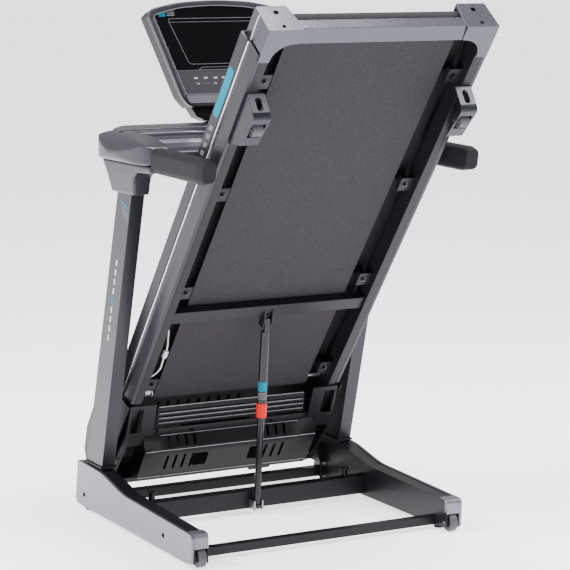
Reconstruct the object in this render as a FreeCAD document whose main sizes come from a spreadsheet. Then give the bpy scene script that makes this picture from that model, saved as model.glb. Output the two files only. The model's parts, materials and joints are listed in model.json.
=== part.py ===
"""Folding motorised treadmill, standing folded: deck raised and leaning rearward.

Row frame: +X to the user's right, +Y forward (towards the console), +Z up, floor at Z = 0.
Deck pieces are drawn in the deck's own frame: origin on the fold axis, -Y towards the
tail roller and +Z towards the walking side. Console pieces and strut pieces have frames
of their own in the same way. Millimetres throughout.
"""
import FreeCAD, Part
import Sketcher
import math
import os
import re

V = FreeCAD.Vector

# ---------------------------------------------------------------- driving dimensions
DIMS = {
    # overall placing
    "frame_shift": 238.0,       # moves everything along Y so that the origin is under the middle
    "pivot_y": 171.0, "pivot_z": 90.0,      # fold axis
    "fold_angle": 52.5,         # deck above the horizontal when folded
    # base
    "base_half": 400.0,
    "base_tail": -520.0, "base_nose": 200.0, "base_clear": 9.0, "rail_in": 352.0,
    "rail_out": 392.0,
    "tail_height": 88.0, "knee_low_y": -105.0, "knee_low_z": 102.0,
    "knee_high_y": 37.0, "knee_high_z": 133.0, "nose_height": 138.0,
    "pedestal_in": 334.0, "pad_r": 14.0, "disc_x": 342.0, "disc_y": 143.0, "disc_r": 13.0,
    "mid_tube_y": -89.0, "mid_tube_deep": 40.0, "mid_tube_z": 16.0, "mid_tube_tall": 49.0,
    "rear_tube_y": -461.0, "rear_tube_deep": 26.0, "rear_tube_z": 11.0, "rear_tube_tall": 23.0,
    "front_tube_y": 157.0, "front_tube_deep": 33.0, "front_tube_z": 15.0, "front_tube_tall": 26.0,
    "post_x": 298.0, "post_y": -69.0, "post_r": 9.0, "post_top": 92.0,
    "wheel_x": 371.0, "wheel_y": -506.0, "wheel_r": 25.0, "wheel_wide": 20.0, "wheel_lift": 1.0,
    "axle_r": 4.0, "run_gap": 0.06,
    # uprights, pods, grips, tray
    "post_in": 350.0, "post_out": 388.0, "post_deep": 100.0, "post_foot_y": 57.0,
    "post_foot_z": 135.0, "lean_run": -0.2759, "front_run": -0.2935, "post_head_z": 1020.0,
    "post_wall": 2.5,
    "pod_in": 345.0, "pod_out": 402.0, "pod_low": 905.0, "seam_z": 989.0, "pod_head": 1068.0,
    "pod_wide": 420.0, "pod_tail": -300.0,
    "grip_in": 353.0, "grip_out": 399.0, "grip_low": 971.0, "grip_end": -590.0,
    "rail_r": 15.0, "rail_x": 376.0, "rail_z": 1001.0,
    "tray_half": 345.0, "tray_low": 985.0, "tray_rim": 1062.0,
    # console
    "con_y": 100.0, "con_z": 1100.0, "con_tilt": 11.0,
    "con_top": 297.0, "con_corner": 258.0, "con_half_top": 200.0, "con_half_low": 120.0,
    "bezel": 14.0, "shell_deep": 42.0, "glass_low": 104.0, "key_low": 36.0,
    "neck_half": 40.0, "neck_y": 102.0, "neck_deep": 34.0, "neck_head": 1066.5,
    "chin_drop": 31.0,
    # deck
    "deck_tail": 1577.0, "frame_tail": 1566.0, "frame_out": 312.0, "frame_in": 289.0,
    "frame_low": 9.0, "frame_high": 58.0, "frame_nose": 58.0, "frame_wall": 2.5,
    "cross_front": 579.0, "cross_wide": 40.0, "cross_low": 17.0, "cross_tall": 24.0,
    "cover_out": 323.0, "cover_top": 60.0, "strip_out": 328.0, "strip_top": 64.0,
    "step_out": 336.0, "step_in": 245.0, "step_top": 95.0, "step_wall": 4.0, "step_tail": 1504.0,
    "cap_nose": 1479.0, "cap_out": 320.0, "cap_low": 8.5, "cap_wall": 8.0,
    "plate_nose": 1534.0, "plate_top": 42.0,
    "arch_x": 236.0, "arch_wide": 54.0, "arch_deep": 52.0,      # curved inner edge of a corner cap
    "belt_half": 237.0, "belt_wall": 2.0, "roller_r": 21.0, "roller_w": 67.0, "belt_gap": 0.3,
    "front_roller": 262.0, "rear_roller": 1545.0, "roller_half": 242.0,
    "shaft_r": 8.0, "board_half": 286.0, "board_wall": 18.0, "board_nose": 292.0, "board_tail": 1512.0,
    "cushion_r": 13.0, "cushion_x": 266.0, "bracket_w": 28.0, "bracket_wall": 3.0,
    "pulley_r": 20.5, "pulley_x": 278.0, "pulley_wide": 18.0,
    "motor_u": 95.0, "motor_w": 30.0, "motor_r": 46.0, "motor_half": 95.0, "motor_pulley_r": 9.0,
    "hood_half": 330.0, "hood_wall": 3.0, "hood_low": 0.0,
    "pan_half": 266.0, "rib_half": 228.0,
    "lug_in": 313.0, "lug_wall": 8.0, "bolt_r": 7.0,
    "leg_in": 268.0, "leg_out": 316.0, "leg_wall": 4.0,
    "leg_wheel_r": 18.0, "leg_wheel_u": 1312.0, "leg_wheel_w": -42.0, "leg_wheel_wide": 26.0,
    # strut
    "strut_y": -108.0, "strut_z": 28.0, "strut_u": 562.0, "strut_w": 12.0,
    "rod_r": 9.5, "housing_r": 12.5, "housing_bore": 10.2, "sleeve_r": 14.5,
    "rod_long": 259.0, "housing_long": 266.0, "eye_r": 11.0, "eye_half": 8.0, "pin_r": 5.0,
    "sleeve_long": 40.0,
}


def strut_line():
    """Length and lean of the strut between its two pins with the deck folded."""
    fold = math.radians(DIMS["fold_angle"])
    top_y = DIMS["pivot_y"] - DIMS["strut_u"] * math.cos(fold) + DIMS["strut_w"] * math.sin(fold)
    top_z = DIMS["pivot_z"] + DIMS["strut_u"] * math.sin(fold) + DIMS["strut_w"] * math.cos(fold)
    run = DIMS["strut_y"] - top_y
    rise = top_z - DIMS["strut_z"]
    return math.hypot(run, rise), math.degrees(math.atan2(run, rise))


DIMS["strut_long"], DIMS["strut_lean"] = strut_line()

doc = FreeCAD.newDocument("Treadmill")
sheet = doc.addObject("Spreadsheet::Sheet", "Dims")
for row, (alias, value) in enumerate(DIMS.items(), start=1):
    sheet.set(f"A{row}", alias)
    sheet.set(f"B{row}", str(value))
    sheet.setAlias(f"B{row}", alias)
doc.recompute()

NODES = []


def formula(text):
    """Write the alias names in an expression as cells of the sheet."""
    return re.sub(r"[a-z][a-z_]*", lambda m: "Dims." + m[0] if m[0] in DIMS else m[0], str(text))


def size(text):
    """Number that an expression over the aliases comes to."""
    return float(sheet.evalExpression(formula(text)))


def bind(obj, **sizes):
    """Bind properties of an object to expressions over the sheet."""
    for name, text in sizes.items():
        obj.setExpression(name.replace("__", "."), formula(text))
    return obj


# ---------------------------------------------------------------- building blocks
def box(x, y, z):
    """Block between (low, high) pairs along X, Y and Z."""
    obj = doc.addObject("Part::Box", "Block")
    for name, (low, high) in zip(("Length", "Width", "Height"), (x, y, z)):
        obj.setExpression(name, formula(f"({high}) - ({low})"))
    return bind(obj, Placement__Base__x=x[0], Placement__Base__y=y[0], Placement__Base__z=z[0])


def deck_box(x, u, w):
    """Block on the deck: u is the distance from the fold axis towards the tail."""
    return box(x, (f"-({u[1]})", f"-({u[0]})"), w)


TURN = {"x": FreeCAD.Rotation(V(0, 1, 0), 90), "y": FreeCAD.Rotation(V(1, 0, 0), -90),
        "z": FreeCAD.Rotation()}


def rod(axis, along, across, radius):
    """Cylinder between the two places of `along`, at the two other coordinates `across`."""
    obj = doc.addObject("Part::Cylinder", "Rod")
    obj.Placement = FreeCAD.Placement(V(0, 0, 0), TURN[axis])
    bind(obj, Radius=radius, Height=f"({along[1]}) - ({along[0]})")
    others = [name for name in "xyz" if name != axis]
    for name, text in zip([axis] + others, [along[0]] + list(across)):
        obj.setExpression(f"Placement.Base.{name}", formula(text))
    return obj


def hollow_bar(x, y, z, wall="2.5"):
    """Square tube along X between (low, high) pairs, open at both ends."""
    room = [(f"({low}) + {wall}", f"({high}) - {wall}") for low, high in (y, z)]
    return cut(box(x, y, z), box((f"({x[0]}) - 1", f"({x[1]}) + 1"), *room))


def fuse(*pieces):
    obj = doc.addObject("Part::MultiFuse", "Joined")
    obj.Shapes = list(pieces)
    obj.Refine = True
    return obj


def cut(base, *tools):
    obj = doc.addObject("Part::Cut", "Trimmed")
    obj.Base = base
    obj.Tool = tools[0] if len(tools) == 1 else fuse(*tools)
    obj.Refine = True
    return obj


def stadium(x, y, z):
    """Upright slot with round ends, between (low, high) pairs."""
    radius = f"(({y[1]}) - ({y[0]}))/2"
    middle = f"(({y[1]}) + ({y[0]}))/2"
    ends = (f"({x[0]}) + {radius}", f"({x[1]}) - {radius}")
    return fuse(box(ends, y, z), *[rod("z", z, (end, middle), radius) for end in ends])


def group(*pieces):
    obj = doc.addObject("Part::Compound", "Set")
    obj.Links = list(pieces)
    return obj


def mirror(piece):
    """Left-hand twin of a right-hand piece."""
    obj = doc.addObject("Part::Mirroring", "Twin")
    obj.Source = piece
    obj.Base = V(0, 0, 0)
    obj.Normal = V(1, 0, 0)
    return obj


def pair(piece):
    return group(piece, mirror(piece))


def draw(body, role, offset, outlines, circles):
    """Sketch of closed outlines and circles, every point bound to the sheet."""
    sketch = body.newObject("Sketcher::SketchObject", "Outline")
    plane = next(item for item in body.Origin.OriginFeatures if item.Role == role)
    sketch.AttachmentSupport = [(plane, "")]
    sketch.MapMode = "FlatFace"
    sketch.setExpression("AttachmentOffset.Base.z", formula(offset))

    def fix(geometry, vertex, point):
        for kind, text in zip(("DistanceX", "DistanceY"), point):
            rule = Sketcher.Constraint(kind, -1, 1, geometry, vertex, size(text))
            sketch.setExpression(f"Constraints[{sketch.addConstraint(rule)}]", formula(text))

    for points in outlines:
        first = sketch.GeometryCount
        corners = [V(size(across), size(up), 0) for across, up in points]
        for index, corner in enumerate(corners):
            following = corners[(index + 1) % len(corners)]
            sketch.addGeometry(Part.LineSegment(corner, following), False)
        for index, point in enumerate(points):
            after = first + (index + 1) % len(points)
            sketch.addConstraint(Sketcher.Constraint("Coincident", first + index, 2, after, 1))
            fix(first + index, 1, point)
    for across, up, radius in circles:
        circle = Part.Circle(V(size(across), size(up), 0), V(0, 0, 1), size(radius))
        ring = sketch.addGeometry(circle, False)
        rule = Sketcher.Constraint("Radius", ring, size(radius))
        sketch.setExpression(f"Constraints[{sketch.addConstraint(rule)}]", formula(radius))
        fix(ring, 3, (across, up))
    return sketch


def profile(role, low, high, *outlines, holes=(), rounding=None):
    """Pad closed outlines between two distances along the plane's normal axis.

    `rounding` is (radius, axis): it fillets the outline's own corners whose edges run
    along that axis.
    """
    body = doc.addObject("PartDesign::Body", "Piece")
    offset = f"-({high})" if role == "XZ_Plane" else low
    sketch = draw(body, role, offset, outlines, holes)
    pad = body.newObject("PartDesign::Pad", "Pad")
    pad.Profile = sketch
    pad.setExpression("Length", formula(f"({high}) - ({low})"))
    if rounding:
        doc.recompute()
        radius, axis = rounding
        names = []
        for number, edge in enumerate(pad.Shape.Edges, start=1):
            if not isinstance(edge.Curve, Part.Line):
                continue
            way = edge.Vertexes[1].Point - edge.Vertexes[0].Point
            if abs(way.normalize().dot(axis)) > 0.999:
                names.append(f"Edge{number}")
        fillet = body.newObject("PartDesign::Fillet", "Rounding")
        fillet.Base = (pad, names)
        fillet.setExpression("Radius", formula(radius))
        body.Tip = fillet
    return body


def side(low, high, points, **options):
    """Side-view outline, points (Y, Z), padded along X."""
    return profile("YZ_Plane", low, high, points, **options)


def deck_side(low, high, points, holes=()):
    """Side-view outline on the deck, points (distance from the fold axis, height)."""
    return side(low, high, [(f"-({u})", w) for u, w in points],
                holes=[(f"-({u})", w, radius) for u, w, radius in holes])


FRAMES = {
    "floor": ("frame_shift", "0", "0"),
    "deck": ("frame_shift + pivot_y", "pivot_z", "-fold_angle"),
    "console": ("frame_shift + con_y", "con_z", "-con_tilt"),
    "strut": ("frame_shift + strut_y", "strut_z", "strut_lean"),
}
BARE = ("Part::Box", "Part::Cylinder", "Part::Mirroring")


def node(label, frame, piece):
    """Name a finished piece and place it in its frame."""
    obj = group(piece) if piece.TypeId in BARE else piece
    obj.Label = label
    away, up, turn = FRAMES[frame]
    obj.Placement = FreeCAD.Placement(
        V(0, size(away), size(up)), FreeCAD.Rotation(V(1, 0, 0), size(turn)))
    bind(obj, Placement__Base__y=away, Placement__Base__z=up)
    NODES.append(obj)
    return obj


def tube(points, radius):
    """Round tube along straight runs joined by tangent arcs; prints its bend radii."""
    edges, at, bends = [], points[0], []
    for before, corner, after in zip(points, points[1:], points[2:]):
        arrive, leave = corner - before, after - corner
        half = arrive.getAngle(leave) / 2
        back = 0.45 * min(arrive.Length, leave.Length)
        bends.append(back / math.tan(half))
        start = corner - V(arrive).normalize() * back
        end = corner + V(leave).normalize() * back
        middle = V(leave).normalize() - V(arrive).normalize()
        centre_way = middle.normalize()
        reach = bends[-1] / math.cos(half) - bends[-1]
        edges.append(Part.LineSegment(at, start).toShape())
        edges.append(Part.Arc(start, corner + centre_way * reach, end).toShape())
        at = end
    edges.append(Part.LineSegment(at, points[-1]).toShape())
    path = Part.Wire(edges)
    circle = Part.Circle(points[0], points[1] - points[0], radius).toShape()
    solid = path.makePipeShell([Part.Wire([circle])], True, False)
    print("bend radii", [round(bend, 1) for bend in bends],
          "volume over section times length",
          round(solid.Volume / (math.pi * radius ** 2 * path.Length), 3))
    return solid


# ---------------------------------------------------------------- base
def base():
    web = side("rail_in", "rail_out", [
        ("base_tail + 11.5", "54"), ("base_tail + 11.5", "tail_height - 2"),
        ("knee_low_y", "knee_low_z - 2"), ("knee_high_y", "knee_high_z - 2"),
        ("base_nose - 8", "nose_height - 2"), ("base_nose + 6", "30"),
        ("base_nose - 6", "base_clear"), ("-470", "base_clear"), ("-470", "54")])
    room = side("rail_in + 3", "rail_out - 3", [
        ("base_tail + 15", "57"), ("base_tail + 15", "tail_height - 5"),
        ("knee_low_y", "knee_low_z - 5"), ("knee_high_y", "knee_high_z - 5"),
        ("base_nose - 11", "nose_height - 5"), ("base_nose + 3", "31"),
        ("base_nose - 9", "base_clear + 3"), ("-467", "base_clear + 3"), ("-467", "57")])
    plates = [box(x, ("base_tail + 2", "-470"), ("12", "54"))
              for x in (("rail_in", "rail_in + 3"), ("rail_out - 4", "rail_out"))]
    axle_hole = rod("x", ("rail_in - 2", "rail_out + 2"), ("wheel_y", "wheel_r + wheel_lift"),
                    "axle_r")
    node("base_rails", "floor", pair(cut(fuse(cut(web, room), *plates), axle_hole)))

    cover = side("rail_out", "base_half", [
        ("base_tail + 4", "14"), ("base_tail", "tail_height - 8"), ("base_tail + 8", "tail_height + 1"),
        ("knee_low_y", "knee_low_z"), ("knee_high_y", "knee_high_z"),
        ("base_nose - 7", "nose_height"), ("base_nose + 11", "26"), ("base_nose + 2", "15"),
        ("base_tail + 30", "10")],
        holes=[("151", "48", "5.5"), ("-355", "51", "5.5")])
    node("base_side_covers", "floor", pair(cover))

    wrap = side("rail_in", "rail_out - 0.2", [
        ("base_tail", "54"), ("base_tail", "80"), ("base_tail + 8", "tail_height + 2"),
        ("base_tail + 34", "tail_height + 3"), ("base_tail + 34", "tail_height"),
        ("base_tail + 11", "tail_height - 1"), ("base_tail + 11", "54")])
    node("base_end_caps", "floor", pair(wrap))

    node("base_cross_tubes", "floor", group(
        hollow_bar(("-rail_in", "rail_in"), ("mid_tube_y", "mid_tube_y + mid_tube_deep"),
                   ("mid_tube_z", "mid_tube_z + mid_tube_tall")),
        hollow_bar(("-rail_in", "rail_in"), ("rear_tube_y", "rear_tube_y + rear_tube_deep"),
                   ("rear_tube_z", "rear_tube_z + rear_tube_tall")),
        hollow_bar(("-rail_in", "rail_in"), ("front_tube_y", "front_tube_y + front_tube_deep"),
                   ("front_tube_z", "front_tube_z + front_tube_tall"))))

    pedestal = side("pedestal_in", "rail_in", [
        ("disc_y - 8", "60"), ("pivot_y + 24", "60"), ("pivot_y + 20", "pivot_z + 12"),
        ("pivot_y", "pivot_z + 22"), ("pivot_y - 20", "pivot_z + 12")],
        holes=[("pivot_y", "pivot_z", "bolt_r")])
    node("pivot_brackets", "floor", pair(pedestal))
    bolt = fuse(rod("x", ("lug_in - 10", "rail_in"), ("pivot_y", "pivot_z"), "bolt_r"),
                rod("x", ("lug_in - 10", "lug_in - 2"), ("pivot_y", "pivot_z"), "bolt_r + 5"))
    node("deck_pivot_bolts", "floor", pair(bolt))

    node("stop_posts", "floor", pair(fuse(
        rod("z", ("mid_tube_z + mid_tube_tall", "post_top"), ("post_x", "post_y"), "post_r"),
        rod("z", ("post_top - 4", "post_top"), ("post_x", "post_y"), "post_r + 4"))))
    feet = [rod("z", ("0", "base_clear"), ("wheel_x", place), "pad_r")
            for place in ("base_nose - 30", "base_tail + 68")]
    feet.append(fuse(rod("z", ("0", "6"), ("disc_x", "disc_y"), "disc_r"),
                     rod("z", ("6", "60"), ("disc_x", "disc_y"), "4")))
    node("base_feet", "floor", pair(group(*feet)))

    ear = box(("eye_half + 2", "eye_half + 6"), ("strut_y - 12", "mid_tube_y"), ("16", "42"))
    pin_hole = rod("x", ("0", "eye_half + 8"), ("strut_y", "strut_z"), "pin_r")
    ears = pair(cut(ear, pin_hole))
    pin = rod("x", ("-eye_half - 8", "eye_half + 8"), ("strut_y", "strut_z"), "pin_r")
    node("strut_foot_bracket", "floor", group(ears, pin))

    axle = rod("x", ("rail_in", "rail_out"), ("wheel_y", "wheel_r + wheel_lift"), "axle_r")
    node("transport_wheel_axles", "floor", pair(axle))

    def wheel():
        span = ("wheel_x - wheel_wide/2", "wheel_x + wheel_wide/2")
        place = ("wheel_y", "wheel_r + wheel_lift")
        return cut(rod("x", span, place, "wheel_r"), rod("x", span, place, "axle_r + run_gap"))
    node("transport_wheel_right", "floor", wheel())
    node("transport_wheel_left", "floor", mirror(wheel()))


# ---------------------------------------------------------------- uprights, pods and grips
def lean_outline(grow, low, high):
    """Leaning side view of an upright between two heights, grown all round by `grow`."""
    back = "post_foot_y + lean_run*({0} - post_foot_z) - {1}"
    front = "post_foot_y + post_deep + front_run*({0} - post_foot_z) + {1}"
    return [(back.format(low, grow), low), (front.format(low, grow), low),
            (front.format(high, grow), high), (back.format(high, grow), high)]


def upright_column():
    foot_back = "knee_high_z - 2 + (post_foot_y - knee_high_y)*5/155"
    foot_front = "knee_high_z - 2 + (post_foot_y + post_deep - knee_high_y)*5/155"
    shape = lean_outline("0", "post_foot_z", "post_head_z")
    shape[0] = ("post_foot_y", foot_back)
    shape[1] = ("post_foot_y + post_deep", foot_front)
    core = side("post_in + post_wall", "post_out - post_wall",
                lean_outline("-post_wall", "post_foot_z + 4", "post_head_z + 5"))
    return cut(side("post_in", "post_out", shape), core)


def uprights():
    node("uprights", "floor", pair(upright_column()))
    ring = profile(
        "XY_Plane", "139", "144",
        [("post_in - 4", "post_foot_y - 8"), ("post_out + 5", "post_foot_y - 8"),
         ("post_out + 5", "post_foot_y + post_deep + 3"), ("post_in - 4", "post_foot_y + post_deep + 3")],
        [("post_in - 0.2", "post_foot_y - 4"), ("post_out + 0.2", "post_foot_y - 4"),
         ("post_out + 0.2", "post_foot_y + post_deep"), ("post_in - 0.2", "post_foot_y + post_deep")])
    node("upright_collars", "floor", pair(ring))

    socket = side("post_in - 0.3", "post_out + 0.3", lean_outline("0.3", "pod_low - 5", "post_head_z + 1"))
    rail_hole = rod("y", ("-560", "-235"), ("rail_x", "rail_z"), "rail_r")
    lower = side("pod_in", "pod_out", [
        ("-50", "pod_low"), ("-186", "pod_low"), ("-192", "950"), ("-216", "967"),
        ("pod_tail", "971"), ("pod_tail", "seam_z"), ("-2", "seam_z"), ("-28", "950")],
        rounding=("3", V(1, 0, 0)))
    shell = cut(lower, socket, rail_hole)
    node("pod_lowers", "floor", pair(shell))

    arm = side("pod_in - 5", "pod_wide", [
        ("pod_tail", "seam_z"), ("-2", "seam_z"), ("32", "1006"), ("62", "1035"), ("58", "1056"),
        ("5", "pod_head"), ("-110", "pod_head"), ("-200", "1054"), ("pod_tail", "1038")])
    tray = side("-tray_half", "tray_half", [
        ("-216", "tray_low"), ("-216", "1016"), ("-196", "1022"), ("60", "tray_rim - 6"),
        ("120", "tray_rim"), ("142", "1050"), ("142", "1008"), ("100", "tray_low")])
    recess = stadium(("50", "330"), ("-184", "8"), ("1014", "1100"))
    slot = stadium(("60", "325"), ("40", "62"), ("1030", "1100"))
    pod_room = box(("345", "pod_wide - 3"), ("-196", "15"), ("992", "1049"))
    rooms = [box(("3 - tray_half", "tray_half - 3"), ("-213", "139"), ("988", "1011")),
             box(("3 - tray_half", "tray_half - 3"), ("66", "139"), ("988", "1047"))]
    neck_hole = box(("-neck_half", "neck_half"), ("neck_y", "neck_y + neck_deep"), ("1012", "1100"))
    tools = [neck_hole] + rooms
    tools.append(box(("-post_in", "post_in"), ("-166", "-126"), ("989.2", "1010.2")))
    for tool in (recess, slot, pod_room, socket, rail_hole):
        tools += [tool, mirror(tool)]
    node("upper_shroud", "floor", cut(fuse(tray, arm, mirror(arm)), *tools))
    node("handrail_frame", "floor", group(
        hollow_bar(("-post_in", "post_in"), ("-166", "-126"), ("989.2", "1010.2")),
        pair(rod("y", ("-560", "-235"), ("rail_x", "rail_z"), "rail_r"))))

    grip = side("grip_in", "grip_out", [
        ("pod_tail", "973"), ("pod_tail", "1036"), ("-572", "1028"), ("grip_end", "1015"),
        ("grip_end + 4", "1004"), ("-534", "grip_low - 1")])
    bore = rod("y", ("-560", "pod_tail"), ("rail_x", "rail_z"), "rail_r")
    sleeve = cut(grip, bore)
    node("grips", "floor", pair(sleeve))


# ---------------------------------------------------------------- console
def console_outline(inset):
    """Half-hexagon outline with a crowned top, drawn `inset` inside the outer edge."""
    half = [(f"con_half_low - 22 - 0.8*{inset}", f"3 + {inset}"),
            (f"con_half_low + 2 - 1.05*{inset}", f"34 + 0.3*{inset}"),
            (f"con_half_top - 1.05*{inset}", f"con_corner - 0.2*{inset}"),
            (f"con_half_top - 16 - {inset}", f"con_top - 21 - {inset}"),
            (f"110 - 0.3*{inset}", f"con_top - 6 - {inset}")]
    return both_sides(half, [("0", f"con_top - {inset}")])


def both_sides(half, middle=()):
    """Symmetric outline from its right half, with the points between the halves."""
    return list(half) + list(middle) + [(f"-({across})", up) for across, up in reversed(half)]


def inside_bezel(height, gap):
    """Half width inside the bezel at a height, less a gap."""
    lean = "(con_half_top - con_half_low - 2)/(con_corner - 34)"
    return f"con_half_low + 2 + {lean}*({height} - 34) - bezel - {gap}"


def console():
    window = both_sides(
        [(inside_bezel("key_low", 0), "key_low"),
         ("con_half_top - 1.05*bezel", "con_corner - 0.2*bezel"),
         ("con_half_top - 16 - bezel", "con_top - 21 - bezel"),
         ("110 - 0.3*bezel", "con_top - 6 - bezel")], [("0", "con_top - bezel")])
    node("console_bezel", "console", profile(
        "XZ_Plane", "-bezel", "6", console_outline("0"), window))
    back = profile("XZ_Plane", "6", "6 + shell_deep", console_outline("4"))
    room = profile("XZ_Plane", "5", "3 + shell_deep", console_outline("8"))
    chin = profile("XZ_Plane", "6", "2 + shell_deep", [
        ("-90", "10"), ("-72", "-20"), ("-46", "-chin_drop"), ("46", "-chin_drop"),
        ("72", "-20"), ("90", "10")])
    node("console_back_shell", "console", fuse(cut(back, room), chin))

    glass = both_sides(
        [(inside_bezel("glass_low", 1), "glass_low"),
         ("con_half_top - 1.05*bezel - 1", "con_corner - 0.2*bezel - 1"),
         ("con_half_top - 17 - bezel", "con_top - 22 - bezel"),
         ("110 - 0.3*bezel", "con_top - 7 - bezel")], [("0", "con_top - bezel - 1")])
    node("display_glass", "console", profile("XZ_Plane", "-9", "-5", glass))
    panel = both_sides([(inside_bezel("key_low + 1", 1), "key_low + 1"),
                        (inside_bezel("glass_low - 0.5", 1), "glass_low - 0.5")])
    node("key_panel", "console", profile("XZ_Plane", "-9", "-5", panel))
    node("control_board", "console", box(("-90", "90"), ("20", "22"), ("60", "240")))
    node("safety_key", "console", fuse(
        box(("-13", "13"), ("-bezel - 7", "-bezel - 0.3"), ("15", "29")),
        box(("-5", "5"), ("-bezel - 16", "-bezel - 6"), ("18", "26"))))
    node("console_neck", "floor", side("-neck_half", "neck_half", [
        ("neck_y", "1012"), ("neck_y + neck_deep", "1012"), ("neck_y + neck_deep", "neck_head - 6.6"),
        ("neck_y", "neck_head")]))


# ---------------------------------------------------------------- strut
def strut():
    top = "strut_long"
    eye = rod("x", ("-eye_half", "eye_half"), ("0", "0"), "eye_r")
    shaft = rod("z", ("6", "rod_long"), ("0", "0"), "rod_r")
    bore = rod("x", ("-eye_half - 2", "eye_half + 2"), ("0", "0"), "pin_r + run_gap")
    node("strut_rod", "strut", cut(fuse(eye, shaft), bore))

    barrel = rod("z", (f"{top} - housing_long", f"{top} - 27"), ("0", "0"), "housing_r")
    room = rod("z", (f"{top} - housing_long - 1", f"{top} - 29"), ("0", "0"), "housing_bore")
    hook = side("-eye_half", "eye_half", [
        ("-eye_r", f"{top} - 28"), ("-eye_r", f"{top} + eye_r"), ("6", f"{top} + eye_r"),
        ("6", f"{top} + pin_r + 0.8"), ("-pin_r - 0.8", f"{top} + pin_r + 0.8"),
        ("-pin_r - 0.8", f"{top} - 16"), ("4", f"{top} - 28")])
    node("strut_housing", "strut", cut(fuse(barrel, hook), room))
    span = (f"{top} - housing_long", f"{top} - housing_long + sleeve_long")
    node("strut_lock_sleeve", "strut", cut(
        rod("z", span, ("0", "0"), "sleeve_r"), rod("z", span, ("0", "0"), "housing_r")))


# ---------------------------------------------------------------- deck frame and trims
CUSHION_PLACES = ("1399", "1030", "681", "330")


def deck_frame():
    skin = deck_box(("frame_in", "frame_out"), ("frame_nose", "frame_tail"), ("frame_low", "frame_high"))
    core = deck_box(("frame_in + frame_wall", "frame_out - frame_wall"),
                    ("frame_nose - 5", "frame_tail + 5"),
                    ("frame_low + frame_wall", "frame_high - frame_wall"))
    node("side_frames", "deck", pair(cut(skin, core)))
    node("deck_cross_members", "deck", group(
        hollow_bar(("-frame_in", "frame_in"), ("-cross_front - cross_wide", "-cross_front"),
                   ("cross_low", "cross_low + cross_tall")),
        hollow_bar(("-lug_in", "lug_in"), ("40", "62"), ("12", "45"))))

    node("rail_covers", "deck", pair(deck_side("frame_out", "cover_out", [
        ("281", "frame_low"), ("1500", "frame_low"), ("1500", "cover_top"), ("264", "cover_top")])))
    node("chrome_strips", "deck", pair(deck_box(
        ("frame_out", "strip_out"), ("262", "1500"), ("cover_top", "strip_top"))))
    node("foot_rails", "deck", pair(profile("XZ_Plane", "-step_tail", "-262", [
        ("step_in", "step_top - step_wall"), ("step_in", "step_top"), ("step_out - 3", "step_top"),
        ("step_out", "step_top - 3"), ("step_out", "strip_top + 12"), ("strip_out + 2", "strip_top"),
        ("strip_out", "strip_top"),
        ("strip_out", "step_top - step_wall")])))
    end_trims()

    node("running_board", "deck", deck_box(
        ("-board_half", "board_half"), ("board_nose", "board_tail"),
        ("roller_w + roller_r - belt_gap - board_wall + 0.1", "roller_w + roller_r - belt_gap + 0.1")))
    board_low = "roller_w + roller_r - belt_gap - board_wall + 0.1"
    pads = [rod("z", ("bracket_w + bracket_wall", board_low), ("cushion_x", f"-{place}"), "cushion_r")
            for place in CUSHION_PLACES]
    node("deck_cushions", "deck", pair(group(*pads)))
    plates = [deck_box(("frame_in - 39", "frame_in"), (f"{place} - 22", f"{place} + 22"),
                       ("bracket_w", "bracket_w + bracket_wall")) for place in CUSHION_PLACES]
    node("cushion_brackets", "deck", pair(group(*plates)))

    plate = deck_side("frame_in - 47", "lug_in + lug_wall", [
        ("274", "4.5"), ("274", "8.8"), ("150", "-26"), ("150", "-30")])
    window = deck_box(("280", "316"), ("190", "262"), ("-60", "30"))
    step = deck_box(("200", "pan_half + 2"), ("140", "178"), ("-60", "30"))
    lug = deck_side("lug_in", "lug_in + lug_wall", [
        ("-62", "12"), ("-22", "-12"), ("-10", "-22"), ("20", "-22"), ("150", "-30"), ("274", "4.5"),
        ("274", "8.8"), ("70", "8.8"), ("70", "40"), ("-62", "40")],
        holes=[("0", "0", "bolt_r + run_gap")])
    node("hinge_brackets", "deck", pair(fuse(cut(plate, window, step), lug)))


def end_trims():
    """Corner caps and end plate that close the tail of the deck."""
    wall = profile("XZ_Plane", "-deck_tail", "-(deck_tail - cap_wall)", [
        ("cap_out", "cap_low - 4"), ("cap_out", "90"), ("cap_out - 4", "94.5"), ("238", "94.5"),
        ("228.2", "plate_top"), ("228.2", "cap_low - 4")],
        holes=[("275", "70.6", "4.5"), ("275", "19", "4.5")])
    lid = deck_box(("238", "cap_out"), ("step_tail + 0.5", "deck_tail - 4"), ("91", "94.5"))
    cheek = deck_box(("frame_out + 0.3", "cap_out"), ("step_tail + 0.5", "deck_tail - 4"), ("4.5", "92"))
    arch = []
    for angle in range(0, 91, 15):
        across = math.cos(math.radians(angle))
        along = 1 - math.sin(math.radians(angle))
        arch.append((f"arch_x + {across:.4f}*arch_wide", f"-plate_nose + {along:.4f}*arch_deep"))
    under = profile("XY_Plane", "4.5", "8.8", [
        ("cap_out", "-cap_nose"), ("arch_x + arch_wide", "-cap_nose")] + arch + [
        ("228.2", "-plate_nose"), ("228.2", "-deck_tail + 2"), ("cap_out", "-deck_tail + 2")])
    node("end_caps", "deck", pair(fuse(wall, lid, cheek, under)))
    node("end_plate", "deck", deck_side("-228", "228", [
        ("plate_nose", "6"), ("deck_tail", "10"), ("deck_tail", "plate_top"),
        ("deck_tail - 5", "plate_top"), ("deck_tail - 5", "14"), ("plate_nose + 4", "12"),
        ("plate_nose + 4", "24"), ("plate_nose", "24")]))


# ---------------------------------------------------------------- running gear
def roller(place):
    span = ("-roller_half", "roller_half")
    return rod("x", span, (f"-{place}", "roller_w"), "roller_r")


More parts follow.
